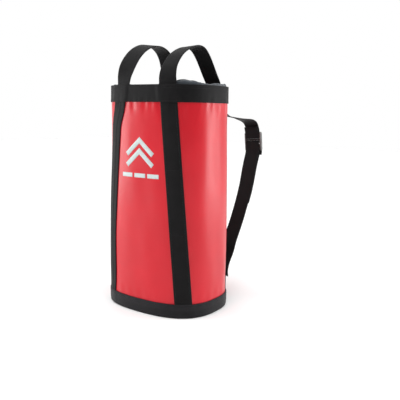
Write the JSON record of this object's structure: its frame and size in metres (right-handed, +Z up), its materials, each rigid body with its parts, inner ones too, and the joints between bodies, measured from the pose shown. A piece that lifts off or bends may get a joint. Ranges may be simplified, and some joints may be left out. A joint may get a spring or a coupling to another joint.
{
  "type": "rope storage bag",
  "caption": "Tall oval tarpaulin rope bag with webbing bands at rim and base, two upright carry handles, a tucked-in collar and two adjustable shoulder straps.",
  "frame": {"origin": "middle of the base, on the ground", "axes": "+Z up out of the mouth, +X to the bag's own left-to-right width seen from the front, +Y from the front with the print to the back with the shoulder straps"},
  "size_m": [0.2842, 0.3726, 0.6],
  "materials": {
    "red_tarpaulin": "glossy coated tarpaulin",
    "black_webbing": "ribbed woven webbing",
    "grey_nylon": "coated nylon",
    "stiffener_board": "matt board",
    "eyelet_metal": "plated",
    "buckle_plastic": "moulded"
  },
  "bodies": {
    "bag": {"body_shell": "red_tarpaulin", "base_panel": "red_tarpaulin", "base_stiffener": "stiffener_board", "rim_facing": "black_webbing", "back_seam_tape": "red_tarpaulin", "front_left_strap": "black_webbing", "front_right_strap": "black_webbing", "rear_left_strap": "black_webbing", "rear_right_strap": "black_webbing", "base_band": "black_webbing", "rim_band": "black_webbing", "collar": "grey_nylon", "collar_eyelets": "eyelet_metal", "handle_left_feet": "black_webbing", "handle_right_feet": "black_webbing", "strap_roots_left": "black_webbing", "strap_roots_right": "black_webbing"},
    "handle_left": {"handle_left": "black_webbing"},
    "shoulder_strap_left": {"upper_strap_left": "black_webbing", "ladder_lock_left": "buckle_plastic", "lower_strap_left": "black_webbing"},
    "strap_tail_left": {"strap_tail_left": "black_webbing"},
    "handle_right": {"handle_right": "black_webbing"},
    "shoulder_strap_right": {"upper_strap_right": "black_webbing", "ladder_lock_right": "buckle_plastic", "lower_strap_right": "black_webbing"},
    "strap_tail_right": {"strap_tail_right": "black_webbing"}
  },
  "joints": [
    {"name": "handle_left_fold", "type": "hinge", "parent": "bag", "child": "handle_left", "pos_m": [-0.066, 0, 0.512], "axis": [-0.0569, 0.9984, 0], "range_deg": [-33, 25], "stiffness_Nm_per_rad": 0.06, "deforming": ["handle_left_feet"]},
    {"name": "shoulder_strap_left_swing", "type": "hinge", "parent": "bag", "child": "shoulder_strap_left", "pos_m": [-0.104, 0.086, 0.108], "axis": [0.0879, 0.0359, 0.9955], "range_deg": [-15, 50], "stiffness_Nm_per_rad": 0.08, "deforming": ["strap_roots_left"]},
    {"name": "strap_tail_left_lift", "type": "hinge", "parent": "shoulder_strap_left", "child": "strap_tail_left", "pos_m": [-0.08095, 0.2604, 0.37288], "axis": [0.9961, 0, -0.0877], "range_deg": [0, 60], "stiffness_Nm_per_rad": 0.02},
    {"name": "handle_right_fold", "type": "hinge", "parent": "bag", "child": "handle_right", "pos_m": [0.066, 0, 0.512], "axis": [-0.0569, 0.9984, 0], "range_deg": [-25, 33], "stiffness_Nm_per_rad": 0.06, "deforming": ["handle_right_feet"]},
    {"name": "shoulder_strap_right_swing", "type": "hinge", "parent": "bag", "child": "shoulder_strap_right", "pos_m": [0.104, 0.086, 0.108], "axis": [-0.0879, 0.0359, 0.9955], "range_deg": [-50, 15], "stiffness_Nm_per_rad": 0.08, "deforming": ["strap_roots_right"]},
    {"name": "strap_tail_right_lift", "type": "hinge", "parent": "shoulder_strap_right", "child": "strap_tail_right", "pos_m": [0.08095, 0.2604, 0.37288], "axis": [0.9961, 0, 0.0877], "range_deg": [0, 60], "stiffness_Nm_per_rad": 0.02}
  ]
}
